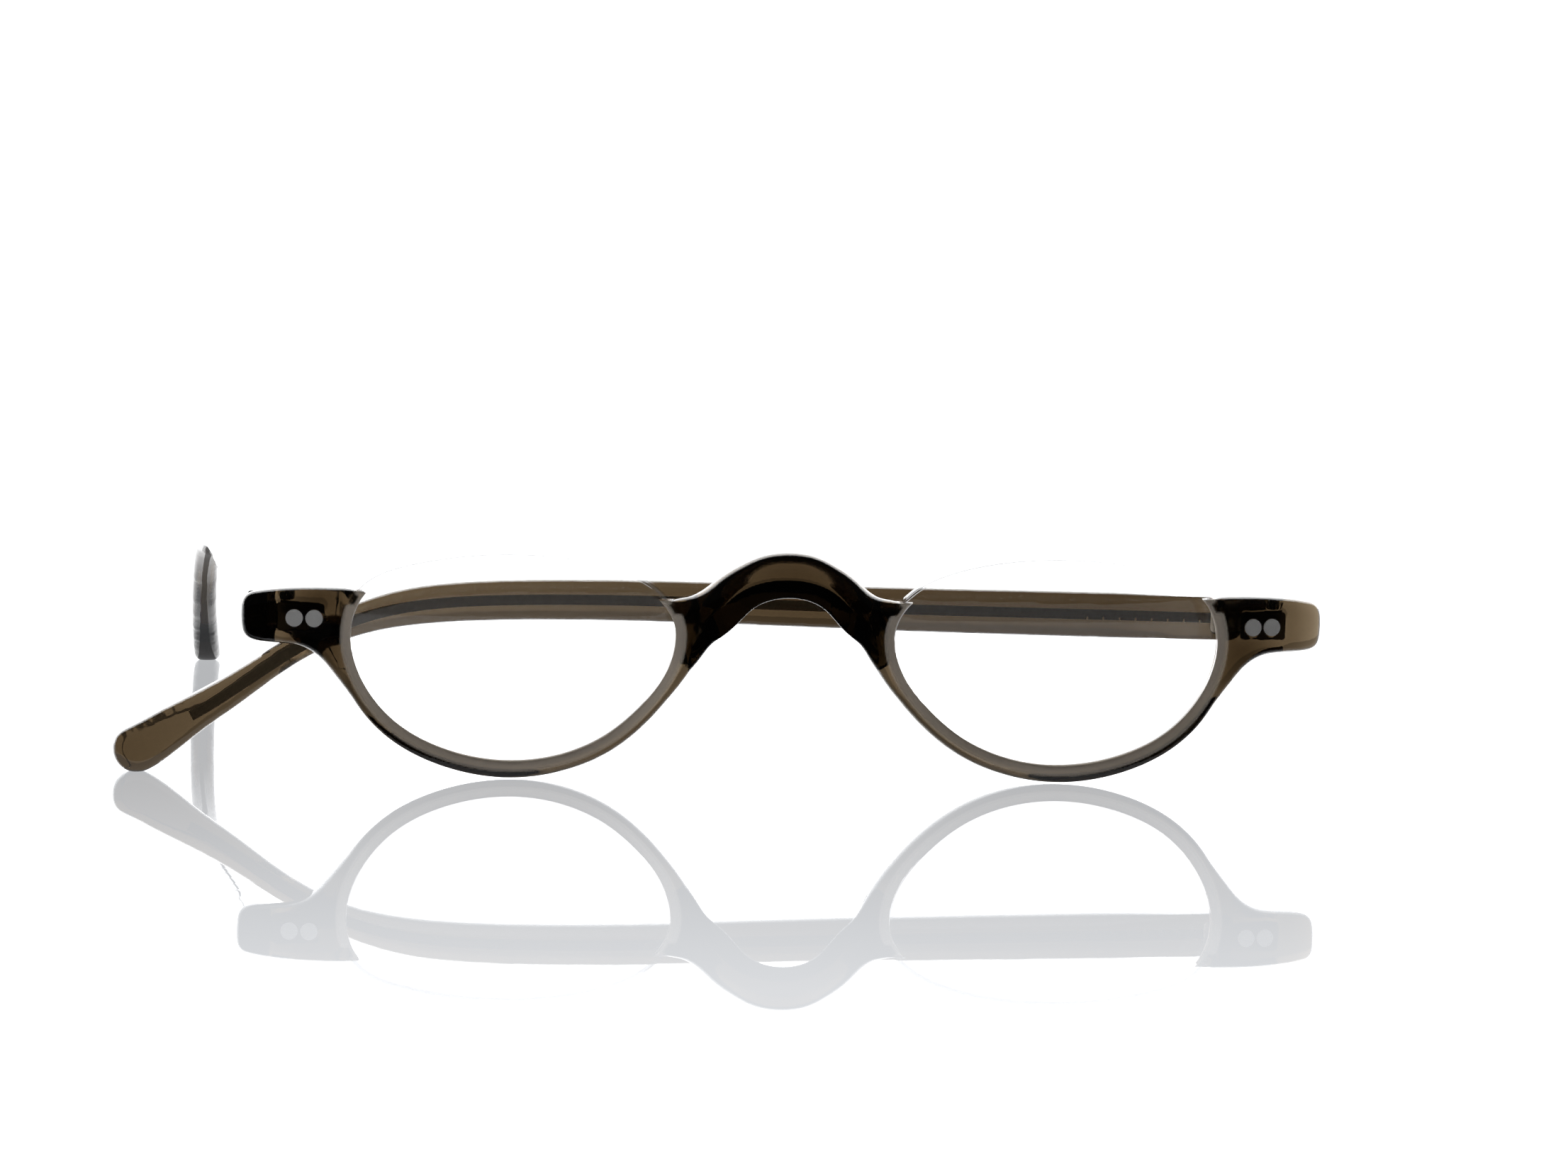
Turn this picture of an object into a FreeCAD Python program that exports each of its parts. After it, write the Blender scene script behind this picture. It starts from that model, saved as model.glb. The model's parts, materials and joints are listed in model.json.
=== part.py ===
"""Half-rim eyeglass frame, built as its separate pieces.

X runs to the wearer's left, Y back towards the wearer and Z up. While it is built, Z is measured
from the table that the frame stands on and Y from the front of the rims. Each piece is then moved
so that the origin is at the seat of the nose, the crown of the arch under the bridge.
The left temple is folded behind the lenses and the right temple is open.
"""

import FreeCAD, Part
import math
import os

Vector = FreeCAD.Vector
os.makedirs("parts", exist_ok=True)

# Lenses: edge to edge, with the tongue that sits in the rim
LENS_WIDTH = 43.1
LENS_HEIGHT = 26.9
LENS_GAP = 26.4
LENS_THICKNESS = 2.0
LENS_CURVE_RADIUS = 125.0
LENS_MIDDLE_Y = 1.2
TONGUE_THICKNESS = 0.8
TONGUE_HEIGHT = 0.8
LENS_CLEARANCE = 0.05

# Lens edge, from the nose side round by the bottom: shares of the lens width and height
LENS_EDGE_SHARES = [
    (0.0, 0.62), (0.022, 0.46), (0.085, 0.31), (0.2, 0.143), (0.36, 0.028), (0.53, 0.0),
    (0.7, 0.05), (0.86, 0.185), (0.96, 0.38), (1.0, 0.62), (0.955, 0.833), (0.8, 0.951),
    (0.6, 0.999), (0.4, 0.997), (0.2, 0.938), (0.06, 0.82),
]

# Nylon line over the top edge of each lens
CORD_SIZE = 0.6
CORD_SUNK = 0.35
CORD_TAIL = 2.2

# Front: the rims, the end pieces and the bridge, cut from one curved sheet
RIM_WIDTH = 1.95
SHEET_THICKNESS = 3.4
SHEET_RADIUS = 125.0
SHEET_STATION_SHARES = [0.0, 0.1, 0.25, 0.45, 0.65, 0.84, 1.0]
RIM_END_DROP_NOSE = 5.65
RIM_END_DROP_SIDE = 4.75

# Bridge: crown and arch, with the shares of its two edges and of its forward bow
CROWN_RISE = 0.4
BRIDGE_HEIGHT = 4.6
BRIDGE_FRONT_Y = -2.7
BRIDGE_BACK_Y = 1.9
BRIDGE_BOW_SHARES = [(0.0, 0.0), (0.3, 0.12), (0.62, 0.5), (0.85, 0.88)]
BRIDGE_TOP_REACH = 1.5
BRIDGE_TOP_SHARES = [
    (0.0, 1.0), (0.24, 0.91), (0.377, 0.746), (0.514, 0.541), (0.65, 0.279), (0.72, 0.156),
    (0.79, 0.074), (1.0, 0.0),
]
ARCH_REACH = 1.8
ARCH_DROP = 13.95
ARCH_SHARES = [
    (0.0, 0.0), (0.167, 0.025), (0.3, 0.09), (0.367, 0.151), (0.453, 0.254), (0.52, 0.333),
    (0.587, 0.391), (0.653, 0.455), (0.72, 0.573), (0.853, 0.799), (1.0, 1.0),
]

# End pieces: shares of the reach past the lens and of the height
END_REACH = 12.75
END_TOP_DROP = 4.65
END_HEIGHT = 6.85
END_BLOCK_INSET = 10.05
END_BLOCK_DEPTH = 2.2
END_CORNER_ROUND = 1.2
END_TOP_SHARES = [(-0.34, 0.02), (0.065, 0.005), (0.47, 0.02), (0.985, 0.15)]
END_SIDE_SHARES = [(0.985, 0.15), (1.0, 0.5), (0.975, 0.92)]
END_BOTTOM_SHARES = [
    (0.975, 0.92), (0.6, 1.0), (0.4, 1.055), (0.255, 1.2), (0.08, 1.55), (-0.09, 1.95),
    (-0.34, 2.4),
]

# Nose pads, bonded behind the bridge legs
PAD_HEIGHT = 8.6
PAD_WIDTH = 3.6
PAD_DEPTH = 2.6
PAD_CROWN_SHARE = 0.62
PAD_INSET = 2.0
PAD_DROP = 10.05
PAD_LEAN_DEG = 22.0
PAD_SPLAY_DEG = 24.0

# Hinges: a screw through five knuckles, three on the front and two on the temple
HINGE_INSET = 6.25
HINGE_STANDOFF = 1.8
HINGE_DROP = 3.4
KNUCKLE_RADIUS = 1.2
KNUCKLE_HEIGHT = 0.64
KNUCKLE_COUNT = 5
KNUCKLE_GAP = 0.05
LEAF_THICKNESS = 1.0
FRONT_LEAF_WIDTH = 6.2
FRONT_LEAF_HEIGHT = 3.7
LEAF_ROUND = 0.5
TEMPLE_LEAF_LENGTH = 8.5
TEMPLE_LEAF_HEIGHT = 3.3
SCREW_RADIUS = 0.6
SCREW_CLEARANCE = 0.04
SCREW_HEAD_RADIUS = 1.05
SCREW_HEAD_HEIGHT = 0.5
SCREW_HEAD_BEVEL = 0.15
SCREW_SLOT_WIDTH = 0.3
SCREW_SLOT_DEPTH = 0.25

# Rivets through the end pieces
RIVET_DROP = 3.75
RIVET_INSET = 8.9
RIVET_SPACING = 2.5
RIVET_HEAD_RADIUS = 1.1
RIVET_HEAD_THICKNESS = 0.7
RIVET_SHANK_RADIUS = 0.6

# Temples, measured along the arm from the screw when open: the shank, then the bent end
SHANK_LENGTH = 125.6
END_LENGTH = 22.4
TEMPLE_DROP = 20.35
TEMPLE_BUTT = 1.5
TEMPLE_HEIGHT = 5.5
TEMPLE_THICKNESS = 3.8
TEMPLE_INNER_FACE = 1.7
TEMPLE_TIP_RADIUS = 3.0
TEMPLE_TOE_IN = 2.3
TEMPLE_TIP_DEGREES = [28.0, -32.0, -92.0]

# Side of the arm: a station is a share of the shank, one and a share of the bent end, or less than
# nothing by a share of the butt. With it go shares of the drop and of the height at the hinge.
ARM_SIDE_SHARES = [
    (-1.0, 0.002, 1.0), (0.1015, -0.01, 1.0), (0.4379, -0.053, 0.94), (0.7428, -0.088, 0.873),
    (0.8232, -0.072, 0.852), (0.8822, -0.032, 0.79), (0.9419, 0.071, 0.63), (1.12, 0.342, 0.555),
    (1.341, 0.507, 0.655), (1.5625, 0.655, 0.8), (1.7, 0.752, 0.94), (1.821, 0.835, 1.02),
]

# Top of the arm: the same stations, with shares of the toe-in and of the thickness at the hinge
ARM_TOP_SHARES = [
    (-3.0, 0.0, 1.0), (0.11, 0.0, 0.985), (0.33, 0.0, 0.947), (0.59, 0.0, 0.88),
    (0.8, 0.0, 0.816), (0.985, 0.0, 0.79), (1.45, 0.28, 0.816), (2.0, 1.0, 0.895),
    (2.3, 1.5, 0.9),
]

# Fold of each temple from open, and how the pair lies here
LEFT_FOLD_DEG = 91.55
RIGHT_FOLD_DEG = 83.0
LEFT_FOLDED = True
RIGHT_FOLDED = False

# Core wires in the temples, with notches in the lower edge behind the hinge
WIRE_HEIGHT = 1.25
WIRE_THICKNESS = 0.9
WIRE_START = 4.5
WIRE_END_SHARE = 1.5625
NOTCH_START = 5.5
NOTCH_PITCH = 2.08
NOTCH_COUNT = 8
NOTCH_DEPTH = 0.35
NOTCH_WIDTH = 0.3

# How far cutting tools run past what they cut
OVERRUN = 8.0

# How many places an outline is moved out or in at
OUTLINE_STATIONS = 20

NOSE_X = LENS_GAP / 2
EYE_X = NOSE_X + LENS_WIDTH / 2
EYE_OUTER_X = NOSE_X + LENS_WIDTH
FRONT_HALF = EYE_OUTER_X + END_REACH
LENS_BASE = RIM_WIDTH - TONGUE_HEIGHT
LENS_CENTRE_HEIGHT = LENS_BASE + LENS_HEIGHT / 2
LENS_TOP = LENS_BASE + LENS_HEIGHT
RIM_END_HEIGHT_NOSE = LENS_TOP - RIM_END_DROP_NOSE
RIM_END_HEIGHT_SIDE = LENS_TOP - RIM_END_DROP_SIDE
CROWN_HEIGHT = LENS_TOP + CROWN_RISE
SADDLE_HEIGHT = CROWN_HEIGHT - BRIDGE_HEIGHT
END_TOP_HEIGHT = LENS_TOP - END_TOP_DROP
END_BLOCK_X = FRONT_HALF - END_BLOCK_INSET
END_BACK_Y = (FRONT_HALF - EYE_X) ** 2 / (2 * SHEET_RADIUS) + END_BLOCK_DEPTH
HINGE_X = FRONT_HALF - HINGE_INSET
HINGE_Y = END_BACK_Y + HINGE_STANDOFF
HINGE_HEIGHT = END_TOP_HEIGHT - HINGE_DROP
RIVET_INNER_X = FRONT_HALF - RIVET_INSET
RIVET_HEIGHT = END_TOP_HEIGHT - RIVET_DROP
TEMPLE_REACH = SHANK_LENGTH + END_LENGTH
STACK_HEIGHT = KNUCKLE_COUNT * KNUCKLE_HEIGHT + (KNUCKLE_COUNT - 1) * KNUCKLE_GAP
STACK_BOTTOM = HINGE_HEIGHT - STACK_HEIGHT / 2
SADDLE = Vector(0, (BRIDGE_FRONT_Y + BRIDGE_BACK_Y) / 2, SADDLE_HEIGHT)


def save(name, shape):
    """Moves a piece from the table's heights to the seat of the nose and writes it."""
    placed = shape.copy()
    placed.translate(-SADDLE)
    placed.exportStep(f"parts/{name}.step")
    solids = len(placed.Solids)
    print(f"{name}: {solids} solid(s), {placed.Volume:.2f} mm3, valid {placed.isValid()}")


def smooth(points, closed=False, tangents=None):
    """One smooth curve through the points, with its directions at the two ends if they are given."""
    curve = Part.BSplineCurve()
    if tangents:
        curve.interpolate(Points=points, InitialTangent=tangents[0], FinalTangent=tangents[1])
    else:
        curve.interpolate(Points=points, PeriodicFlag=closed)
    return curve


def face_of(edges):
    return Part.Face(Part.Wire(Part.__sortEdges__(edges)))


def polygon_face(points):
    return Part.Face(Part.makePolygon(points + points[:1]))


def along_y(face, start, end):
    """A solid with a front-view outline, from one depth to another."""
    moved = face.copy()
    moved.translate(Vector(0, start, 0))
    return moved.extrude(Vector(0, end - start, 0))


def along_z(face, start, end):
    """A solid with a top-view outline, from one height to another."""
    moved = face.copy()
    moved.translate(Vector(0, 0, start))
    return moved.extrude(Vector(0, 0, end - start))


def mirrored(shape):
    return shape.mirror(Vector(0, 0, 0), Vector(1, 0, 0))


# Lenses

def lens_edge():
    """The lens outline in the front view, as a closed curve."""
    return smooth(
        [Vector(NOSE_X + u * LENS_WIDTH, 0, LENS_BASE + v * LENS_HEIGHT) for u, v in LENS_EDGE_SHARES],
        closed=True,
    )


def lens_outline(outward=0.0):
    """The lens outline moved out or in by a distance, as a face."""
    curve = lens_edge()
    if not outward:
        return Part.Face(Part.Wire(curve.toShape()))
    start, end = curve.FirstParameter, curve.LastParameter
    centre = Vector(EYE_X, 0, LENS_CENTRE_HEIGHT)
    points = []
    for i in range(OUTLINE_STATIONS):
        t = start + (end - start) * i / OUTLINE_STATIONS
        point = curve.value(t)
        tangent = curve.tangent(t)[0]
        normal = Vector(tangent.z, 0, -tangent.x)
        if normal.dot(point - centre) < 0:
            normal = -normal
        points.append(point + normal * outward)
    return Part.Face(Part.Wire(smooth(points, closed=True).toShape()))


def lens_prism(outward=0.0):
    return along_y(lens_outline(outward), -OVERRUN, 2 * OVERRUN)


def lens_shell(thickness):
    """The zone between two spheres that a curved sheet of this thickness fills."""
    centre = Vector(EYE_X, LENS_MIDDLE_Y + LENS_CURVE_RADIUS, LENS_CENTRE_HEIGHT)
    outer = Part.makeSphere(LENS_CURVE_RADIUS + thickness / 2, centre)
    inner = Part.makeSphere(LENS_CURVE_RADIUS - thickness / 2, centre)
    return outer, inner


def curved(prism, thickness):
    """The part of a prism that lies in the curved lens sheet of this thickness."""
    outer, inner = lens_shell(thickness)
    return prism.common(outer).cut(inner)


def above_rim_ends(lowered=0.0):
    """The space above the line that joins the two ends of the left rim."""
    wide = FRONT_HALF
    nose = Vector(NOSE_X, 0, RIM_END_HEIGHT_NOSE - lowered)
    side = Vector(EYE_OUTER_X, 0, RIM_END_HEIGHT_SIDE - lowered)
    slope = (side - nose) * (1 / (side.x - nose.x))
    first = nose - slope * nose.x
    last = nose + slope * wide
    top = Vector(0, 0, wide)
    return along_y(polygon_face([first, last, last + top, first + top]), -OVERRUN, 2 * OVERRUN)


def make_lens():
    blank = curved(lens_prism(), LENS_THICKNESS)
    ring = lens_prism(OVERRUN / 2).cut(lens_prism(-TONGUE_HEIGHT - LENS_CLEARANCE))
    shoulders = ring.cut(above_rim_ends()).cut(curved(lens_prism(OVERRUN / 2), TONGUE_THICKNESS))
    groove = lens_prism(OVERRUN / 2).cut(lens_prism(-CORD_SUNK))
    groove = curved(groove, CORD_SIZE).common(above_rim_ends())
    tail = lens_prism(OVERRUN / 2).cut(lens_prism(-TONGUE_HEIGHT - LENS_CLEARANCE))
    tail = tail.common(above_rim_ends(CORD_TAIL)).cut(above_rim_ends())
    return blank.cut(shoulders).cut(groove).cut(tail)


def cord_ring(grown=0.0):
    """The strip round the lens edge that the nylon line fills."""
    ring = lens_prism(CORD_SIZE - CORD_SUNK + grown).cut(lens_prism(-CORD_SUNK - grown))
    return curved(ring, CORD_SIZE + 2 * grown).common(above_rim_ends(CORD_TAIL + grown))


# Front

def sheet():
    """The curved sheet that the front is cut from, seen from above."""
    reach = FRONT_HALF + OVERRUN / 4
    front, back = [], []
    for share in SHEET_STATION_SHARES:
        x = share * (reach - NOSE_X) + NOSE_X
        y = (x - EYE_X) ** 2 / (2 * SHEET_RADIUS)
        front.append(Vector(x, y, 0))
        if x < END_BLOCK_X:
            back.append(Vector(x, y + SHEET_THICKNESS, 0))
    valley_front, valley_back = front[0].y, back[0].y
    bow_front = [
        Vector(u * NOSE_X, BRIDGE_FRONT_Y + v * (valley_front - BRIDGE_FRONT_Y), 0)
        for u, v in BRIDGE_BOW_SHARES
    ]
    bow_back = [
        Vector(u * NOSE_X, BRIDGE_BACK_Y + v * (valley_back - BRIDGE_BACK_Y), 0)
        for u, v in BRIDGE_BOW_SHARES
    ]
    back.append(Vector(END_BLOCK_X, END_BACK_Y, 0))
    front_half = bow_front + front
    back_half = bow_back + back
    front_line = [flipped(p) for p in reversed(front_half[1:])] + front_half
    back_line = [flipped(p) for p in reversed(back_half[1:])] + back_half
    corner = Vector(reach, END_BACK_Y, 0)
    edges = [smooth(front_line).toShape(), smooth(back_line).toShape()]
    edges.append(Part.makeLine(back_line[-1], corner))
    edges.append(Part.makeLine(corner, front_line[-1]))
    edges.append(Part.makeLine(back_line[0], flipped(corner)))
    edges.append(Part.makeLine(flipped(corner), front_line[0]))
    return along_z(face_of(edges), -OVERRUN, CROWN_HEIGHT + OVERRUN)


def flipped(point):
    return Vector(-point.x, point.y, point.z)


def bridge_face():
    """The bridge and the tops of its legs in the front view."""
    rise = CROWN_HEIGHT - RIM_END_HEIGHT_NOSE
    top_half, arch_half = NOSE_X + BRIDGE_TOP_REACH, NOSE_X + ARCH_REACH
    top = [Vector(u * top_half, 0, RIM_END_HEIGHT_NOSE + v * rise) for u, v in BRIDGE_TOP_SHARES]
    arch = [Vector(u * arch_half, 0, SADDLE_HEIGHT - v * ARCH_DROP) for u, v in ARCH_SHARES]
    inside_high = Vector(EYE_X, 0, top[-1].z - END_HEIGHT)
    inside_low = Vector(EYE_X, 0, arch[-1].z)
    top_line = [flipped(p) for p in reversed(top[1:])] + top
    arch_line = [flipped(p) for p in reversed(arch[1:])] + arch
    edges = [smooth(top_line).toShape(), smooth(arch_line).toShape()]
    for side in (lambda p: p, flipped):
        corners = [side(p) for p in (top[-1], inside_high, inside_low, arch[-1])]
        edges += [Part.makeLine(corners[i], corners[i + 1]) for i in range(3)]
    return face_of(edges)


def end_point(shares):
    across, down = shares
    return Vector(EYE_OUTER_X + across * END_REACH, 0, END_TOP_HEIGHT - down * END_HEIGHT)


def end_piece():
    """The left end piece in the front view, with its two outer corners rounded."""
    top = [end_point(s) for s in END_TOP_SHARES]
    side = [end_point(s) for s in END_SIDE_SHARES]
    bottom = [end_point(s) for s in END_BOTTOM_SHARES]
    edges = [smooth(points).toShape() for points in (top, side, bottom)]
    inside = [bottom[-1], Vector(EYE_X, 0, bottom[-1].z), Vector(EYE_X, 0, top[0].z - END_HEIGHT), top[0]]
    edges += [Part.makeLine(inside[i], inside[i + 1]) for i in range(3)]
    block = along_y(face_of(edges), -OVERRUN, 2 * OVERRUN)
    corners = [side[0], side[-1]]
    upright = [
        edge for edge in block.Edges
        if any(Vector(edge.CenterOfMass.x, 0, edge.CenterOfMass.z).distanceToPoint(c) < LENS_CLEARANCE
               for c in corners)
    ]
    return block.makeFillet(END_CORNER_ROUND, upright)


def rim():
    """The left rim in the front view, up to its two ends."""
    band = lens_prism(RIM_WIDTH - TONGUE_HEIGHT)
    return band.cut(above_rim_ends())


def front_blank():
    """The left half of the front with its outline and its curve, before grooves and holes."""
    width = 2 * FRONT_HALF
    left = Part.makeBox(width, width, width, Vector(0, -FRONT_HALF, -OVERRUN))
    bridge = along_y(bridge_face(), -OVERRUN, 2 * OVERRUN).common(left)
    outline = bridge.fuse([rim(), end_piece()]).cut(lens_prism(-TONGUE_HEIGHT)).removeSplitter()
    return outline.common(sheet().common(left)).removeSplitter()


def make_front(fitted):
    """The front, with a groove round each lens and with room for all that is let in."""
    groove = curved(lens_prism(LENS_CLEARANCE), TONGUE_THICKNESS + 2 * LENS_CLEARANCE)
    over_rim = lens_prism(LENS_CLEARANCE).common(above_rim_ends())
    half = front_blank().cut([groove, over_rim, cord_ring()] + fitted)
    return half.fuse(mirrored(half))


# Nose pads

def pad_outline(size, depth):
    """An egg-shaped outline of the pad, a share of its full size, at a depth."""
    edge = Part.Ellipse(Vector(0, 0, 0), size * PAD_HEIGHT / 2, size * PAD_WIDTH / 2).toShape()
    edge.rotate(Vector(0, 0, 0), Vector(0, 0, 1), 90)
    edge.rotate(Vector(0, 0, 0), Vector(1, 0, 0), 90)
    edge.translate(Vector(0, depth, 0))
    return Part.Wire(edge)


def make_pad():
    """The left pad: an egg-shaped pad, cut to lie against the back of the bridge leg."""
    centre = Vector(NOSE_X - PAD_INSET, 0, SADDLE_HEIGHT + PAD_HEIGHT / 2 - PAD_DROP)
    ray = Part.makeLine(centre - Vector(0, OVERRUN, 0), centre + Vector(0, OVERRUN, 0))
    through = ray.common(sheet())
    outlines = [pad_outline(1, -PAD_DEPTH / 2), pad_outline(1, PAD_DEPTH / 2)]
    outlines.append(pad_outline(PAD_CROWN_SHARE, PAD_DEPTH))
    pad = Part.makeLoft(outlines, True, True)
    pad.rotate(Vector(0, 0, 0), Vector(0, 1, 0), -PAD_LEAN_DEG)
    pad.rotate(Vector(0, 0, 0), Vector(0, 0, 1), PAD_SPLAY_DEG)
    pad.translate(Vector(centre.x, through.BoundBox.YMax, centre.z))
    return pad.cut(sheet())


# Hinges

def knuckle(index, bored):
    """One knuckle of the left hinge, or the hole through it."""
    base = Vector(HINGE_X, HINGE_Y, STACK_BOTTOM + index * (KNUCKLE_HEIGHT + KNUCKLE_GAP))
    radius = SCREW_RADIUS + SCREW_CLEARANCE if bored else KNUCKLE_RADIUS
    return Part.makeCylinder(radius, KNUCKLE_HEIGHT, base)


def make_front_hinge():
    """The leaf let into the left end piece, with the three outer knuckles."""
    corner = Vector(
        RIVET_INNER_X + (RIVET_SPACING - FRONT_LEAF_WIDTH) / 2,
        END_BACK_Y - LEAF_THICKNESS,
        RIVET_HEIGHT - FRONT_LEAF_HEIGHT / 2,
    )
    leaf = Part.makeBox(FRONT_LEAF_WIDTH, LEAF_THICKNESS, FRONT_LEAF_HEIGHT, corner)
    leaf = leaf.makeFillet(LEAF_ROUND, edges_along(leaf, Vector(0, 1, 0)))
    for index in range(0, KNUCKLE_COUNT, 2):
        tube = knuckle(index, False)
        web_start = Vector(HINGE_X - KNUCKLE_RADIUS, END_BACK_Y - LEAF_THICKNESS / 2, tube.BoundBox.ZMin)
        web = Part.makeBox(2 * KNUCKLE_RADIUS, HINGE_Y - web_start.y, KNUCKLE_HEIGHT, web_start)
        leaf = leaf.fuse([tube, web])
    leaf = leaf.cut([knuckle(index, True) for index in range(0, KNUCKLE_COUNT, 2)])
    return leaf.removeSplitter()


def make_temple_hinge():
    """The leaf let into the inner face of the left temple, with the two inner knuckles, open."""
    inner_face = HINGE_X + TEMPLE_INNER_FACE
    corner = Vector(inner_face, HINGE_Y - KNUCKLE_RADIUS, HINGE_HEIGHT - TEMPLE_LEAF_HEIGHT / 2)
    leaf = Part.makeBox(LEAF_THICKNESS, TEMPLE_LEAF_LENGTH, TEMPLE_LEAF_HEIGHT, corner)
    leaf = leaf.makeFillet(LEAF_ROUND, edges_along(leaf, Vector(1, 0, 0)))
    for index in range(1, KNUCKLE_COUNT, 2):
        tube = knuckle(index, False)
        web_start = Vector(HINGE_X, HINGE_Y - KNUCKLE_RADIUS, tube.BoundBox.ZMin)
        web_length = TEMPLE_INNER_FACE + LEAF_THICKNESS / 2
        web = Part.makeBox(web_length, 2 * KNUCKLE_RADIUS, KNUCKLE_HEIGHT, web_start)
        leaf = leaf.fuse([tube, web])
    leaf = leaf.cut([knuckle(index, True) for index in range(1, KNUCKLE_COUNT, 2)])
    return leaf.removeSplitter()


def edges_along(shape, direction):
    """The straight edges of a block that run one way."""
    found = []
    for edge in shape.Edges:
        points = edge.discretize(2)
        if (points[1] - points[0]).cross(direction).Length < LENS_CLEARANCE:
            found.append(edge)
    return found


def make_screw():
    """The left pivot screw: a plain shank with a slotted head on the top knuckle."""
    base = Vector(HINGE_X, HINGE_Y, STACK_BOTTOM)
    top = base + Vector(0, 0, STACK_HEIGHT)
    shank = Part.makeCylinder(SCREW_RADIUS, STACK_HEIGHT, base)
    head = Part.makeCylinder(SCREW_HEAD_RADIUS, SCREW_HEAD_HEIGHT, top)
    crown = [edge for edge in head.Edges if edge.BoundBox.ZMin > top.z + SCREW_HEAD_HEIGHT / 2]
    head = head.makeChamfer(SCREW_HEAD_BEVEL, crown)
    corner = top + Vector(-SCREW_HEAD_RADIUS, -SCREW_SLOT_WIDTH / 2, SCREW_HEAD_HEIGHT - SCREW_SLOT_DEPTH)
    slot = Part.makeBox(2 * SCREW_HEAD_RADIUS, SCREW_SLOT_WIDTH, SCREW_HEAD_HEIGHT, corner)
    return shank.fuse(head).cut(slot).removeSplitter()


def make_rivet(x):
    """A rivet square to the front, flush with the front and with the back of the hinge leaf."""
    axis = Vector((EYE_X - x) / SHEET_RADIUS, 1, 0)
    axis.normalize()
    start = Vector(x, (x - EYE_X) ** 2 / (2 * SHEET_RADIUS), RIVET_HEIGHT)
    head = Part.makeCylinder(RIVET_HEAD_RADIUS, OVERRUN + RIVET_HEAD_THICKNESS, start - axis * OVERRUN, axis)
    shank = Part.makeCylinder(RIVET_SHANK_RADIUS, END_BACK_Y + OVERRUN, start, axis)
    return head.fuse(shank).common(sheet()).removeSplitter()


# Temples

def from_screw(station):
    """How far past the screw of the open arm a station is."""
    before, past = min(station, 0) * TEMPLE_BUTT, max(station - 1, 0) * END_LENGTH
    return before + max(min(station, 1), 0) * SHANK_LENGTH + past


def arm_stations():
    """Middle points of the left arm, open, with the arm's half height and its upward normal."""
    middles = [
        Vector(0, HINGE_Y + from_screw(station), HINGE_HEIGHT - down * TEMPLE_DROP)
        for station, down, _ in ARM_SIDE_SHARES
    ]
    line = smooth(middles)
    stations = []
    for middle, (_, _, height) in zip(middles, ARM_SIDE_SHARES):
        tangent = line.tangent(line.parameter(middle))[0]
        normal = Vector(0, -tangent.z, tangent.y)
        if middle is middles[0]:
            normal = Vector(0, 0, 1)
        stations.append((middle, height * TEMPLE_HEIGHT / 2, normal))
    return stations


def arm_side():
    """The open left temple seen from its side, with its drop-shaped tip."""
    stations = arm_stations()
    top = [middle + normal * half for middle, half, normal in stations]
    bottom = [middle - normal * half for middle, half, normal in stations]
    centre = Vector(0, HINGE_Y + TEMPLE_REACH - TEMPLE_TIP_RADIUS, HINGE_HEIGHT - TEMPLE_DROP + TEMPLE_TIP_RADIUS)
    tip = []
    for degrees in TEMPLE_TIP_DEGREES:
        angle = math.radians(degrees)
        tip.append(Vector(0, math.cos(angle), math.sin(angle)))
    first, middle, last = [centre + direction * TEMPLE_TIP_RADIUS for direction in tip]
    turn_in = Vector(0, tip[0].z, -tip[0].y)
    turn_out = Vector(0, -tip[-1].z, tip[-1].y)
    level = Vector(0, 1, 0)
    edges = [Part.Arc(first, middle, last).toShape()]
    edges.append(smooth(top + [first], tangents=(level, turn_in)).toShape())
    edges.append(smooth(bottom + [last], tangents=(level, turn_out)).toShape())
    edges.append(Part.makeLine(bottom[0], top[0]))
    return face_of(edges)


def arm_band(inner_side, outer_side):
    """The open left arm seen from above, between two distances from its inner face.

    Each distance is worked out from the arm's thickness at that station.
    """
    lines = ([], [])
    for station, toe, thick in ARM_TOP_SHARES:
        y = HINGE_Y + from_screw(station)
        inner_face = HINGE_X + TEMPLE_INNER_FACE - toe * TEMPLE_TOE_IN
        for line, side in zip(lines, (inner_side, outer_side)):
            line.append(Vector(inner_face + side(thick * TEMPLE_THICKNESS), y, 0))
    inner, outer = lines
    edges = [smooth(inner).toShape(), smooth(outer).toShape()]
    edges.append(Part.makeLine(inner[0], outer[0]))
    edges.append(Part.makeLine(inner[-1], outer[-1]))
    return along_z(face_of(edges), -OVERRUN, CROWN_HEIGHT + OVERRUN)


def from_side(face):
    """A solid with a side-view outline, wide enough to span the temple."""
    moved = face.copy()
    moved.translate(Vector(EYE_OUTER_X, 0, 0))
    return moved.extrude(Vector(END_REACH + OVERRUN, 0, 0))


def make_temple():
    """The open left temple before its leaf and its wire are let in."""
    band = arm_band(lambda thickness: 0, lambda thickness: thickness)
    return from_side(arm_side()).common(band).Solids[0]


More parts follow.
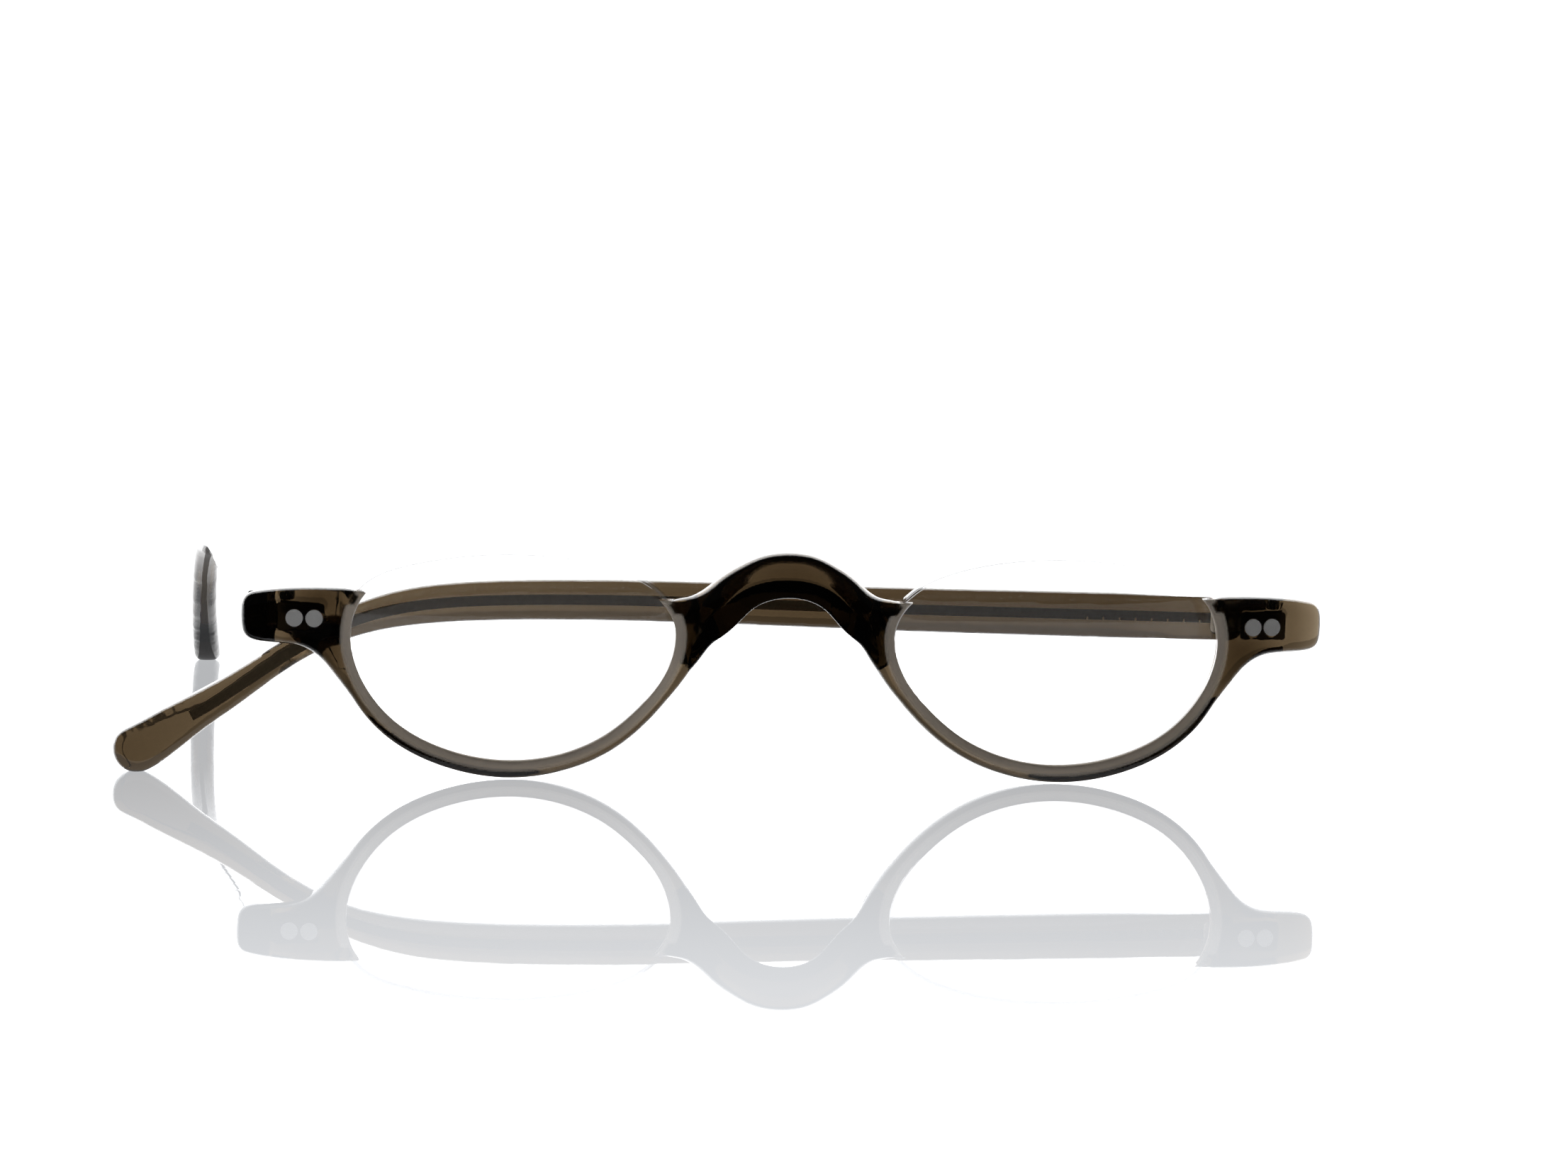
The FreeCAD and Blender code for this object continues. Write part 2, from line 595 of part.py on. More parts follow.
def make_wire():
    """The open left core wire: a flat band that follows the arm, notched behind the hinge."""
    stations = [s for s, shares in zip(arm_stations(), ARM_SIDE_SHARES) if shares[0] <= WIRE_END_SHARE]
    start = stations[0][0] + Vector(0, WIRE_START, 0)
    line = smooth([start] + [middle for middle, _, _ in stations[1:]])
    half = WIRE_HEIGHT / 2
    top, bottom = [], []
    for i in range(OUTLINE_STATIONS + 1):
        t = line.FirstParameter + (line.LastParameter - line.FirstParameter) * i / OUTLINE_STATIONS
        point, tangent = line.value(t), line.tangent(t)[0]
        normal = Vector(0, -tangent.z, tangent.y)
        top.append(point + normal * half)
        bottom.append(point - normal * half)
    edges = [smooth(top).toShape(), smooth(bottom).toShape()]
    edges.append(Part.makeLine(top[-1], bottom[-1]))
    edges.append(Part.makeLine(top[0], bottom[0]))
    wire = from_side(face_of(edges))
    notches = []
    for i in range(NOTCH_COUNT):
        t = line.parameterAtDistance(NOTCH_START + NOTCH_PITCH * i)
        point, tangent = line.value(t), line.tangent(t)[0]
        normal = Vector(0, -tangent.z, tangent.y)
        along, down = tangent * (NOTCH_WIDTH / 2), normal * (NOTCH_DEPTH - half)
        low = point - normal * (half + NOTCH_DEPTH)
        corners = [low - along, low + along, point + down + along, point + down - along]
        notches.append(from_side(polygon_face(corners)))
    band = arm_band(
        lambda thickness: (thickness - WIRE_THICKNESS) / 2,
        lambda thickness: (thickness + WIRE_THICKNESS) / 2,
    )
    return wire.cut(notches).common(band)


# The pieces

def both_sides(name, shape):
    save(f"{name}_left", shape)
    save(f"{name}_right", mirrored(shape))


def folded(shape, degrees):
    """A temple piece turned about the left screw from open."""
    turned = shape.copy()
    turned.rotate(Vector(HINGE_X, HINGE_Y, 0), Vector(0, 0, 1), degrees)
    return turned


def save_temple_piece(name, shape):
    """Writes the left piece and its mirror image, each with its own temple's fold."""
    left = folded(shape, LEFT_FOLD_DEG) if LEFT_FOLDED else shape
    right = folded(shape, RIGHT_FOLD_DEG) if RIGHT_FOLDED else shape
    save(f"{name}_left", left)
    save(f"{name}_right", mirrored(right))


def main():
    front_hinge = make_front_hinge()
    inner_rivet = make_rivet(RIVET_INNER_X)
    outer_rivet = make_rivet(RIVET_INNER_X + RIVET_SPACING)
    save("front_frame", make_front([front_hinge, inner_rivet, outer_rivet]))
    both_sides("nose_pad", make_pad())
    both_sides("lens", make_lens())
    both_sides("suspension_cord", cord_ring())
    both_sides("front_hinge", front_hinge.cut([inner_rivet, outer_rivet]))
    both_sides("front_rivet_inner", inner_rivet)
    both_sides("front_rivet_outer", outer_rivet)
    both_sides("hinge_screw", make_screw())
    temple_hinge = make_temple_hinge()
    wire = make_wire()
    save_temple_piece("temple", make_temple().cut([temple_hinge, wire]))
    save_temple_piece("temple_hinge", temple_hinge)
    save_temple_piece("core_wire", wire)


main()
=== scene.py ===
"""Half-rim eyeglass frame on a pale glossy table, seen from low in front."""

import json
import math

import bmesh
import bpy
from mathutils import Matrix, Vector
from mathutils.bvhtree import BVHTree
from mathutils.kdtree import KDTree


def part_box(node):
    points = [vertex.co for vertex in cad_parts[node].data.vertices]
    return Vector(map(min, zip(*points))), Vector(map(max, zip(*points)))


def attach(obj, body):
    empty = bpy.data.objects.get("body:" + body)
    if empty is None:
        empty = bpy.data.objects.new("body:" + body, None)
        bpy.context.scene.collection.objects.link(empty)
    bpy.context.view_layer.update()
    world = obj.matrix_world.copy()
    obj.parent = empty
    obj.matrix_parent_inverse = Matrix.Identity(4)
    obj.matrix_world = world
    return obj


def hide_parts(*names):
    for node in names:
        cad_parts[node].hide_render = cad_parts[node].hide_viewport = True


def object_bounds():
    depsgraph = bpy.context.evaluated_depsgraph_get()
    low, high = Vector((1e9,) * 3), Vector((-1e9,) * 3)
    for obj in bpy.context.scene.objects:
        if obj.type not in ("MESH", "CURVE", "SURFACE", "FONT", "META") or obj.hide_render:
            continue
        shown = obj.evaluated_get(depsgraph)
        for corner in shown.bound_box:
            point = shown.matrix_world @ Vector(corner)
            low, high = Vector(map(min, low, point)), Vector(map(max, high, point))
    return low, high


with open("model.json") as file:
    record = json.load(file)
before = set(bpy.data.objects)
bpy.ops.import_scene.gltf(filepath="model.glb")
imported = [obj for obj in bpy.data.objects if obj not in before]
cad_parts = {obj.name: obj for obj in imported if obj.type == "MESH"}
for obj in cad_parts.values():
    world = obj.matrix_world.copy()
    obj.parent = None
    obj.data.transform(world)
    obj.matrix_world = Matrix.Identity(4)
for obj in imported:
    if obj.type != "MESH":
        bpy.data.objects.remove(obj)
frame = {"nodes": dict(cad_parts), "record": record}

cad_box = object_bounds()
nodes = frame["nodes"]

# The camera stands low in front, far off and a little to the right temple's side. It is turned a
# little about its own axis, because the frame in the photograph sits a little aslant.
MM = 0.001
PHOTO_WIDTH_PX = 2212
PHOTO_SCALE_PX_PER_MM = 11.08
SENSOR_WIDTH_MM = 36.0
CAMERA_DISTANCE = 1.7
CAMERA_SWING = math.radians(6.0)
CAMERA_ELEVATION = math.radians(6.0)
CAMERA_ROLL = 0.0195
AIM_HEIGHT = 24.4 * MM
AIM_ASIDE = 0.53 * MM
FOOT_BACK = 0.5 * MM
CLIP_START = 0.05
foot = Vector((0, FOOT_BACK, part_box("front_frame")[0][2]))
camera_data = bpy.data.cameras.new("camera")
camera_data.sensor_width = SENSOR_WIDTH_MM
view_width = PHOTO_WIDTH_PX / PHOTO_SCALE_PX_PER_MM * MM
camera_data.lens = SENSOR_WIDTH_MM * CAMERA_DISTANCE / view_width
camera_data.clip_start = CLIP_START
camera = bpy.data.objects.new("camera", camera_data)
bpy.context.collection.objects.link(camera)
level = Vector((-math.sin(CAMERA_SWING), -math.cos(CAMERA_SWING), 0))
towards = level * math.cos(CAMERA_ELEVATION) + Vector((0, 0, math.sin(CAMERA_ELEVATION)))
eye = foot + CAMERA_DISTANCE * towards
aim = foot + Vector((-AIM_ASIDE, 0, AIM_HEIGHT))
back = (eye - aim).normalized()
turn = Matrix.Rotation(CAMERA_ROLL, 4, back)
upright = back.to_track_quat("Z", "Y").to_matrix().to_4x4()
camera.matrix_world = Matrix.Translation(eye) @ turn @ upright
scene = bpy.context.scene
scene.camera = camera

# The light is a ring of white panels round the table with a strong one behind and above, and the
# camera's side is dim. What is polished finds that side dark and the panel behind brighter still,
# as in a studio. Glassy plastic needs many light bounces.
PANEL_WHITE = 1.3
CEILING_GREY = 0.5
CAMERA_SIDE_THROUGH = 0.05
CAMERA_SIDE_MIRRORED = 0.02
PANEL_MIRRORED = 3.5
CEILING_STARTS = 0.35
CEILING_FULL = 0.6
THROUGH_DIM = -0.75
THROUGH_WHITE = -0.3
MIRRORED_DIM = 0.25
MIRRORED_WHITE = 0.5
LIGHT_BOUNCES = 20
CLEAR_BOUNCES = 16
GLOSS_BOUNCES = 8
DEPTH_BOUNCES = 2
scene.view_settings.view_transform = "Standard"
scene.cycles.max_bounces = LIGHT_BOUNCES
scene.cycles.transmission_bounces = CLEAR_BOUNCES
scene.cycles.glossy_bounces = GLOSS_BOUNCES
scene.cycles.volume_bounces = DEPTH_BOUNCES
scene.cycles.transparent_max_bounces = CLEAR_BOUNCES
world = bpy.data.worlds.new("studio")
scene.world = world
world.use_nodes = True
tree = world.node_tree
background = tree.nodes["Background"]
background.inputs["Color"].default_value = (1.0, 1.0, 1.0, 1.0)
direction = tree.nodes.new("ShaderNodeTexCoord")
split = tree.nodes.new("ShaderNodeSeparateXYZ")
height = tree.nodes.new("ShaderNodeMapRange")
height.inputs["From Min"].default_value = CEILING_STARTS
height.inputs["From Max"].default_value = CEILING_FULL
height.inputs["To Min"].default_value = PANEL_WHITE
height.inputs["To Max"].default_value = CEILING_GREY
through = tree.nodes.new("ShaderNodeMapRange")
through.inputs["From Min"].default_value = THROUGH_DIM
through.inputs["From Max"].default_value = THROUGH_WHITE
through.inputs["To Min"].default_value = CAMERA_SIDE_THROUGH
through.inputs["To Max"].default_value = 1.0
mirrored = tree.nodes.new("ShaderNodeMapRange")
mirrored.inputs["From Min"].default_value = MIRRORED_DIM
mirrored.inputs["From Max"].default_value = MIRRORED_WHITE
mirrored.inputs["To Min"].default_value = CAMERA_SIDE_MIRRORED
mirrored.inputs["To Max"].default_value = PANEL_MIRRORED
path = tree.nodes.new("ShaderNodeLightPath")
toned = tree.nodes.new("ShaderNodeMath")
toned.operation = "MULTIPLY"
direct = tree.nodes.new("ShaderNodeMix")
seen = tree.nodes.new("ShaderNodeMix")
tree.links.new(direction.outputs["Generated"], split.inputs[0])
tree.links.new(split.outputs["Z"], height.inputs["Value"])
tree.links.new(split.outputs["Y"], mirrored.inputs["Value"])
tree.links.new(split.outputs["Y"], through.inputs["Value"])
tree.links.new(height.outputs["Result"], toned.inputs[0])
tree.links.new(through.outputs["Result"], toned.inputs[1])
tree.links.new(path.outputs["Is Transmission Ray"], direct.inputs["Factor"])
tree.links.new(height.outputs["Result"], direct.inputs["A"])
tree.links.new(toned.outputs[0], direct.inputs["B"])
tree.links.new(path.outputs["Is Reflection Ray"], seen.inputs["Factor"])
tree.links.new(direct.outputs["Result"], seen.inputs["A"])
tree.links.new(mirrored.outputs["Result"], seen.inputs["B"])
tree.links.new(seen.outputs["Result"], background.inputs["Strength"])


# The table is a sheet of glossy white acrylic lit from within, so it shows no shadow, only a
# mirror image of what stands on it. The image is strongest near the frame and fades towards the
# camera.
TABLE_HALF = 6.0
TABLE_GLOW = 1.25
TABLE_WHITE = (0.95, 0.97, 1.0, 1.0)
MIRROR_NEAR = 0.62
MIRROR_FAR = 0.41
MIRROR_FADE = 0.22
GLOW_EDGE = -0.002


def material(name):
    """A new node material, its tree and its Principled shader."""
    made = bpy.data.materials.new(name)
    made.use_nodes = True
    return made, made.node_tree, made.node_tree.nodes["Principled BSDF"]


def mesh_object(name, mesh):
    """A new object in the scene with this mesh."""
    piece = bpy.data.objects.new(name, mesh)
    bpy.context.collection.objects.link(piece)
    return piece


table_height = cad_box[0][2]
table_mesh = bpy.data.meshes.new("table")
shape = bmesh.new()
bmesh.ops.create_grid(shape, x_segments=1, y_segments=1, size=TABLE_HALF)
bmesh.ops.translate(shape, verts=shape.verts, vec=(0, 0, table_height))
shape.to_mesh(table_mesh)
shape.free()
table = mesh_object("table", table_mesh)
table_finish, tree, shader = material("lit_acrylic")
tree.nodes.remove(shader)
glow = tree.nodes.new("ShaderNodeEmission")
glow.inputs["Color"].default_value = TABLE_WHITE
path = tree.nodes.new("ShaderNodeLightPath")
in_front = tree.nodes.new("ShaderNodeMath")
in_front.operation = "LESS_THAN"
in_front.inputs[1].default_value = GLOW_EDGE
hidden = tree.nodes.new("ShaderNodeMath")
hidden.operation = "MULTIPLY"
strength = tree.nodes.new("ShaderNodeMapRange")
strength.inputs["To Min"].default_value = TABLE_GLOW
strength.inputs["To Max"].default_value = 0.0
gloss = tree.nodes.new("ShaderNodeBsdfGlossy")
gloss.inputs["Roughness"].default_value = 0.0
where = tree.nodes.new("ShaderNodeTexCoord")
split = tree.nodes.new("ShaderNodeSeparateXYZ")
fade = tree.nodes.new("ShaderNodeMapRange")
fade.inputs["From Min"].default_value = -MIRROR_FADE
fade.inputs["From Max"].default_value = 0.0
fade.inputs["To Min"].default_value = MIRROR_FAR
fade.inputs["To Max"].default_value = MIRROR_NEAR
mix = tree.nodes.new("ShaderNodeMixShader")
tree.links.new(where.outputs["Object"], split.inputs[0])
tree.links.new(split.outputs["Y"], fade.inputs["Value"])
tree.links.new(split.outputs["Y"], in_front.inputs[0])
tree.links.new(in_front.outputs[0], hidden.inputs[0])
tree.links.new(path.outputs["Is Reflection Ray"], hidden.inputs[1])
tree.links.new(hidden.outputs[0], strength.inputs["Value"])
tree.links.new(strength.outputs["Result"], glow.inputs["Strength"])
tree.links.new(fade.outputs["Result"], mix.inputs[0])
tree.links.new(glow.outputs[0], mix.inputs[1])
tree.links.new(gloss.outputs[0], mix.inputs[2])
tree.links.new(mix.outputs[0], tree.nodes["Material Output"].inputs["Surface"])
table_mesh.materials.append(table_finish)


# The front is one piece of brown see-through acetate, cut from a curved sheet and tumbled until
# its edges are round and its faces are polished.
FRONT_VOXEL = 0.192 * MM
TUMBLE_STEPS = 10
RUB_SHARE = 0.5
SEAM = 0.002 * MM
CLEAR = (1.0, 1.0, 1.0, 1.0)
ACETATE_IOR = 1.49
ACETATE_TINT = (0.436, 0.365, 0.25, 1.0)
FRONT_DENSITY = 1400.0
SCRATCH_SCALE = 900.0
SCRATCH_DETAIL = 4.0
SCRATCH_ROUGHNESS = 0.03


def acetate(name, density):
    """Polished see-through brown acetate: clear at its skin and brown through its depth."""
    made, tree, shader = material(name)
    shader.inputs["Transmission Weight"].default_value = 1.0
    shader.inputs["IOR"].default_value = ACETATE_IOR
    shader.inputs["Base Color"].default_value = CLEAR
    where = tree.nodes.new("ShaderNodeTexCoord")
    rub = tree.nodes.new("ShaderNodeTexNoise")
    rub.inputs["Scale"].default_value = SCRATCH_SCALE
    rub.inputs["Detail"].default_value = SCRATCH_DETAIL
    shine = tree.nodes.new("ShaderNodeMapRange")
    shine.inputs["To Min"].default_value = 0.0
    shine.inputs["To Max"].default_value = SCRATCH_ROUGHNESS
    tree.links.new(where.outputs["Object"], rub.inputs["Vector"])
    tree.links.new(rub.outputs["Fac"], shine.inputs["Value"])
    tree.links.new(shine.outputs["Result"], shader.inputs["Roughness"])
    depth = tree.nodes.new("ShaderNodeVolumeAbsorption")
    depth.inputs["Color"].default_value = ACETATE_TINT
    depth.inputs["Density"].default_value = density
    tree.links.new(depth.outputs[0], tree.nodes["Material Output"].inputs["Volume"])
    return made


def keep_modified(piece):
    """Puts what a piece's modifiers make in place of its mesh, shaded smooth."""
    graph = bpy.context.evaluated_depsgraph_get()
    final = bpy.data.meshes.new_from_object(piece.evaluated_get(graph))
    piece.modifiers.clear()
    piece.data = final
    final.shade_smooth()


def tumbled(name, source, voxel, steps):
    """A copy of a solid with its facets joined, its edges worn round and its faces smooth."""
    mesh = nodes[source].data.copy()
    mesh.materials.clear()
    piece = mesh_object(name, mesh)
    shape = bmesh.new()
    shape.from_mesh(mesh)
    bmesh.ops.remove_doubles(shape, verts=shape.verts, dist=SEAM)
    shape.to_mesh(mesh)
    shape.free()
    remesh = piece.modifiers.new("remesh", "REMESH")
    remesh.mode = "VOXEL"
    remesh.voxel_size = voxel
    remesh.use_smooth_shade = True
    smooth = piece.modifiers.new("smooth", "SMOOTH")
    smooth.factor = RUB_SHARE
    smooth.iterations = steps
    keep_modified(piece)
    return piece


front_acetate = acetate("front_acetate", FRONT_DENSITY)
front = tumbled("front", "front_frame", FRONT_VOXEL, TUMBLE_STEPS)

# The outer edges of the rims and end pieces are worn rounder than the rest of the front, except
# round the rivets, where its face stays flat.
OUTER_NEAR = 0.2 * MM
OUTER_FAR = 1.1 * MM
OUTER_SWELL = 0.24 * MM
OUTER_STEPS = 100
RIVET_NEAR = 1.4 * MM
RIVET_FAR = 2.6 * MM


def worn(piece, share, swell, steps):
    """Rounds a stretch of a tumbled piece further. A function gives each place its share of it."""
    group = piece.vertex_groups.new(name="worn")
    for vertex in piece.data.vertices:
        weight = share(vertex.co)
        if weight > 0:
            group.add([vertex.index], weight, "REPLACE")
    swollen = piece.modifiers.new("swollen", "DISPLACE")
    swollen.vertex_group = group.name
    swollen.strength = swell
    swollen.mid_level = 0.0
    smooth = piece.modifiers.new("smooth", "SMOOTH")
    smooth.vertex_group = group.name
    smooth.factor = RUB_SHARE
    smooth.iterations = steps
    keep_modified(piece)
    piece.vertex_groups.clear()


def ramp(value, low, high):
    """How far a value is on its way from one end to the other, from 0 to 1."""
    return min(max((value - low) / (high - low), 0.0), 1.0)


def flat_lens(side):
    """The outline of a lens, seen from the front."""
    mesh = nodes[f"lens_{side}"].data
    places = [(vertex.co.x, 0, vertex.co.z) for vertex in mesh.vertices]
    return BVHTree.FromPolygons(places, [face.vertices for face in mesh.polygons])


def from_lenses(place):
    """How far a place is from the nearer lens, seen from the front."""
    return min(lens.find_nearest((place.x, 0, place.z))[3] for lens in flat_lenses)


def from_rivets(place):
    """How far a place is from the nearest rivet, seen from the front."""
    return min(math.hypot(place.x - centre.x, place.z - centre.z) for centre in rivet_centres)


def outer_share(place):
    """How much extra wear a place gets: none along the lenses and round the rivets."""
    off_lens = ramp(from_lenses(place), OUTER_NEAR, OUTER_FAR)
    return off_lens * ramp(from_rivets(place), RIVET_NEAR, RIVET_FAR)


flat_lenses = [flat_lens("left"), flat_lens("right")]
rivet_centres = []
for row in ("inner", "outer"):
    for side in ("left", "right"):
        low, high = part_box(f"front_rivet_{row}_{side}")
        rivet_centres.append((Vector(low) + Vector(high)) / 2)
worn(front, outer_share, OUTER_SWELL, OUTER_STEPS)

# The bridge is filed slimmer and rounder than the sheet that it is cut from, and its arch is
# bevelled behind, where it sits on the nose.
BRIDGE_WORN_HALF = 8.5 * MM
BRIDGE_FADE_HALF = 12.0 * MM
BRIDGE_SWELL = 0.35 * MM
BRIDGE_STEPS = 110
BRIDGE_SLIM = 0.2
BEVEL_COLUMN = 0.25 * MM
BEVEL_HEIGHT = 2.3 * MM
BEVEL_SHARE = 0.64


def bridge_share(place):
    """How much of the bridge's shaping a place gets, fading out towards the rims."""
    return ramp(abs(place.x), BRIDGE_FADE_HALF, BRIDGE_WORN_HALF)


worn(front, bridge_share, BRIDGE_SWELL, BRIDGE_STEPS)
arch = {}
foremost = {}
bridge = [vertex for vertex in front.data.vertices if abs(vertex.co.x) < BRIDGE_FADE_HALF]
for vertex in bridge:
    vertex.co.y *= 1 - BRIDGE_SLIM * bridge_share(vertex.co)
    column = round(vertex.co.x / BEVEL_COLUMN)
    level = Vector((vertex.co.x, 0, vertex.co.z))
    arch[column] = min(arch.get(column, level), level, key=lambda place: place.z)
    foremost[column] = min(foremost.get(column, 0), vertex.co.y)
edge = KDTree(len(arch))
for index, level in enumerate(arch.values()):
    edge.insert(level, index)
edge.balance()
for vertex in bridge:
    above = edge.find((vertex.co.x, 0, vertex.co.z))[2]
    bevel = BEVEL_SHARE * ramp(above, BEVEL_HEIGHT, 0) * bridge_share(vertex.co)
    vertex.co.y -= bevel * (vertex.co.y - foremost[round(vertex.co.x / BEVEL_COLUMN)])

# The rims are bevelled behind their outer edge towards the temples. Their lip along the lens is
# thin, because the groove for the lens runs behind it, and the saw has left the groove matt.
SHEET_RADIUS = 125.0 * MM
RIM_NEARBY = 2.0 * MM
RIM_MIDDLE_X = 29.0 * MM
RIM_SIDE_X = 36.0 * MM
RIM_END_X = 53.0 * MM
END_PIECE_X = 56.5 * MM
RIM_BEVEL_FROM = 0.4 * MM
RIM_OUTER = 1.45 * MM
RIM_BEVEL_SHARE = 0.62
LIP_NEAR = 0.15 * MM
LIP_FAR = 0.6 * MM
LIP_MATT = 0.6
LIP_COLOR = (0.95, 0.84, 0.72, 1.0)
lens_low, lens_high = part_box("lens_left")
lens_middle_x = (lens_low[0] + lens_high[0]) / 2
face_low = min(
    vertex.co.y for vertex in front.data.vertices
    if abs(abs(vertex.co.x) - lens_middle_x) < RIM_NEARBY
)


def behind_face(place):
    """How far a place is behind the front face of the curved sheet."""
    face_y = face_low + (abs(place.x) - lens_middle_x) ** 2 / (2 * SHEET_RADIUS)
    return max(place.y - face_y, 0)


for vertex in front.data.vertices:
    aside = abs(vertex.co.x)
    share = ramp(aside, RIM_MIDDLE_X, RIM_SIDE_X) * ramp(aside, END_PIECE_X, RIM_END_X)
    if share > 0:
        share *= RIM_BEVEL_SHARE * ramp(from_lenses(vertex.co), RIM_BEVEL_FROM, RIM_OUTER)
        vertex.co.y -= share * behind_face(vertex.co)
lip = front.data.attributes.new("lip", "FLOAT", "POINT")
for vertex in front.data.vertices:
    lip.data[vertex.index].value = LIP_MATT * ramp(from_lenses(vertex.co), LIP_FAR, LIP_NEAR)
tree = front_acetate.node_tree
matt = tree.nodes.new("ShaderNodeBsdfDiffuse")
matt.inputs["Color"].default_value = LIP_COLOR
near_lens = tree.nodes.new("ShaderNodeAttribute")
near_lens.attribute_name = "lip"
both = tree.nodes.new("ShaderNodeMixShader")
tree.links.new(near_lens.outputs["Fac"], both.inputs[0])
tree.links.new(tree.nodes["Principled BSDF"].outputs[0], both.inputs[1])
tree.links.new(matt.outputs[0], both.inputs[2])
tree.links.new(both.outputs[0], tree.nodes["Material Output"].inputs["Surface"])
front.data.materials.append(front_acetate)
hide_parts("front_frame")
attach(front, "front")

# The nose pads are small blocks of the same acetate, ground slim and bonded to the back of the
# bridge's legs.
PAD_VOXEL = 0.12 * MM
PAD_STEPS = 12
PAD_SLIM = 0.72
for side, outward in (("left", 1), ("right", -1)):
    pad = tumbled(f"pad_{side}", f"nose_pad_{side}", PAD_VOXEL, PAD_STEPS)
    seat = max(abs(corner[0]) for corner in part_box(f"nose_pad_{side}"))
    shape = bmesh.new()
    shape.from_mesh(pad.data)
    anchor = Matrix.Translation((-seat * outward, 0, 0))
    bmesh.ops.scale(shape, vec=(PAD_SLIM, 1, 1), space=anchor, verts=shape.verts)
    shape.to_mesh(pad.data)
    shape.free()
    pad.data.materials.append(front_acetate)
    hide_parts(f"nose_pad_{side}")
    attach(pad, "front")


# The lenses are clear lenses of cast plastic, coated against reflections. Each sits by a tongue in
# the rim below and is held from above by the nylon line in its edge groove.
LENS_IOR = 1.5


def finish_node(node, finish):
    """Gives a carried-over node its finish."""
    mesh = nodes[node].data
    mesh.materials.clear()
    mesh.materials.append(finish)


def clear_plastic(name, ior, roughness, color):
    """See-through plastic that is tinted at its skin alone."""
    made, tree, shader = material(name)
    shader.inputs["Transmission Weight"].default_value = 1.0
    shader.inputs["IOR"].default_value = ior
    shader.inputs["Roughness"].default_value = roughness
    shader.inputs["Base Color"].default_value = color
    return made


lens_finish = clear_plastic("clear_lens", LENS_IOR, 0.0, CLEAR)
for side in ("left", "right"):
    finish_node(f"lens_{side}", lens_finish)

# The suspension cords are clear nylon line. Each runs over the top of its lens, in the groove of
# its edge, and is threaded through the two ends of the rim.
NYLON_IOR = 1.45
NYLON_ROUGHNESS = 0.02
NYLON_COLOR = (0.74, 0.74, 0.75, 1.0)
nylon = clear_plastic("nylon", NYLON_IOR, NYLON_ROUGHNESS, NYLON_COLOR)
for side in ("left", "right"):
    finish_node(f"suspension_cord_{side}", nylon)


# The hinges are nickel silver, stamped and tumbled: a leaf let into each end piece and one let
# into each temple, joined by a slotted steel screw.
HINGE_COLOR = (0.62, 0.6, 0.56, 1.0)
HINGE_ROUGHNESS = 0.22
HINGE_GRAIN = 2500.0
SCREW_COLOR = (0.5, 0.49, 0.47, 1.0)
SCREW_ROUGHNESS = 0.25
SCREW_GRAIN = 3000.0
GRAIN_DETAIL = 6.0
SHINIEST = 0.7
DULLEST = 1.4


def metal(name, color, roughness, grain, metallic=1.0):
    """Brushed metal with a fine grain that varies its shine."""
    made, tree, shader = material(name)
    shader.inputs["Metallic"].default_value = metallic
    shader.inputs["Base Color"].default_value = color
    where = tree.nodes.new("ShaderNodeTexCoord")
    lines = tree.nodes.new("ShaderNodeTexNoise")
    lines.inputs["Scale"].default_value = grain
    lines.inputs["Detail"].default_value = GRAIN_DETAIL
    shine = tree.nodes.new("ShaderNodeMapRange")
    shine.inputs["To Min"].default_value = roughness * SHINIEST
    shine.inputs["To Max"].default_value = roughness * DULLEST
    tree.links.new(where.outputs["Object"], lines.inputs["Vector"])
    tree.links.new(lines.outputs["Fac"], shine.inputs["Value"])
    tree.links.new(shine.outputs["Result"], shader.inputs["Roughness"])
    return made


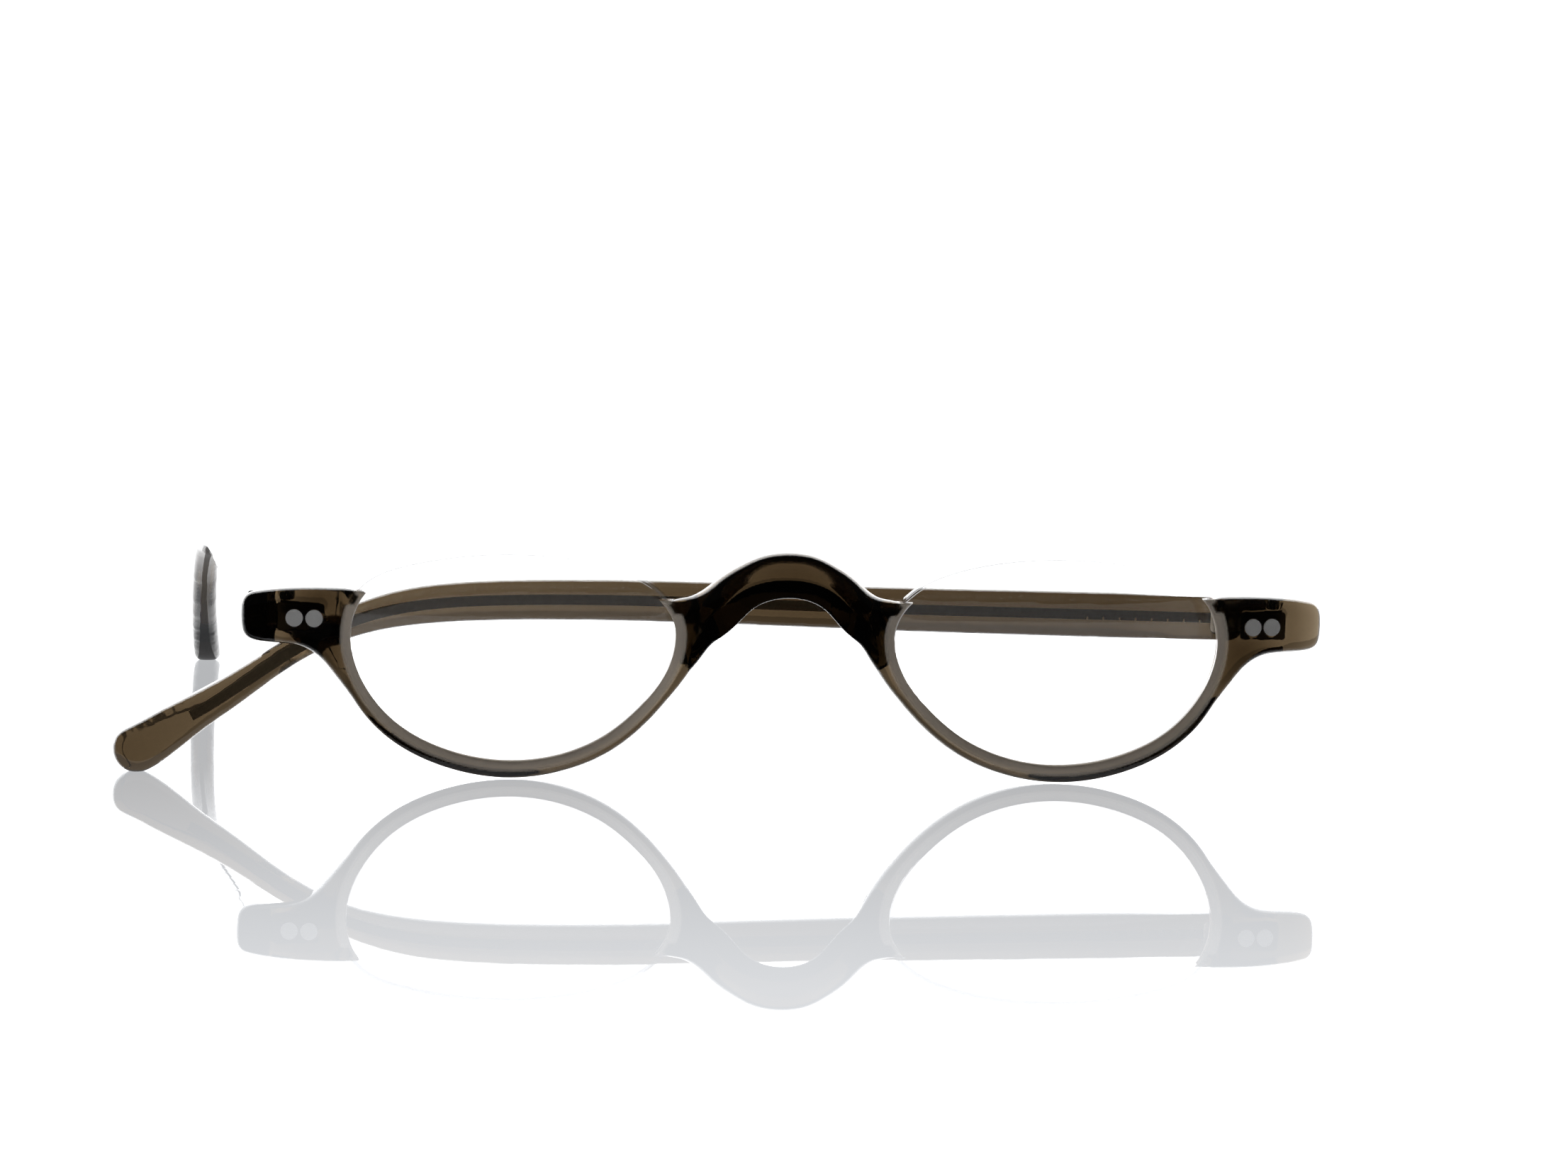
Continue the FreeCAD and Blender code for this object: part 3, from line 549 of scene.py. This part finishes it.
hinge_metal = metal("nickel_silver", HINGE_COLOR, HINGE_ROUGHNESS, HINGE_GRAIN)
screw_metal = metal("screw_steel", SCREW_COLOR, SCREW_ROUGHNESS, SCREW_GRAIN)
for side in ("left", "right"):
    finish_node(f"front_hinge_{side}", hinge_metal)
    finish_node(f"temple_hinge_{side}", hinge_metal)
    finish_node(f"hinge_screw_{side}", screw_metal)

# The rivets pass through each end piece and hold the hinge leaf. Their polished ends show as two
# silvery discs on the front.
RIVET_COLOR = (0.9, 0.89, 0.87, 1.0)
RIVET_ROUGHNESS = 0.5
RIVET_GRAIN = 2500.0
RIVET_METALLIC = 0.1
rivet_metal = metal("rivet_silver", RIVET_COLOR, RIVET_ROUGHNESS, RIVET_GRAIN, RIVET_METALLIC)
for side in ("left", "right"):
    finish_node(f"front_rivet_inner_{side}", rivet_metal)
    finish_node(f"front_rivet_outer_{side}", rivet_metal)

# The temples are of the same acetate, with a drop-shaped tip. Tumbling has rounded them all
# along, least of all at the end with the hinge, whose leaf needs a flat face.
TEMPLE_VOXEL = 0.2 * MM
TEMPLE_HINGE_END = 12.0 * MM
TEMPLE_WORN_FROM = 20.0 * MM
TEMPLE_SWELL = 0.2 * MM
TEMPLE_STEPS = 80
TEMPLE_DENSITY = 1500.0
temple_acetate = acetate("temple_acetate", TEMPLE_DENSITY)
for side, joint in zip(("left", "right"), frame["record"]["behaviour"]["joints"]):
    screw = Vector(joint["pos_m"])
    temple = tumbled(f"temple_arm_{side}", f"temple_{side}", TEMPLE_VOXEL, TUMBLE_STEPS)
    worn(
        temple,
        lambda place: ramp((place - screw).length, TEMPLE_HINGE_END, TEMPLE_WORN_FROM),
        TEMPLE_SWELL,
        TEMPLE_STEPS,
    )
    temple.data.materials.append(temple_acetate)
    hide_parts(f"temple_{side}")
    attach(temple, f"temple_{side}")

# The core wires are flat polished wires shot into the temples from the hinge end. Notches in
# their lower edge hold them in the acetate.
WIRE_COLOR = (0.88, 0.86, 0.8, 1.0)
WIRE_ROUGHNESS = 0.4
WIRE_GRAIN = 2000.0
WIRE_METALLIC = 0.1
wire_metal = metal("core_wire_steel", WIRE_COLOR, WIRE_ROUGHNESS, WIRE_GRAIN, WIRE_METALLIC)
for side in ("left", "right"):
    finish_node(f"core_wire_{side}", wire_metal)
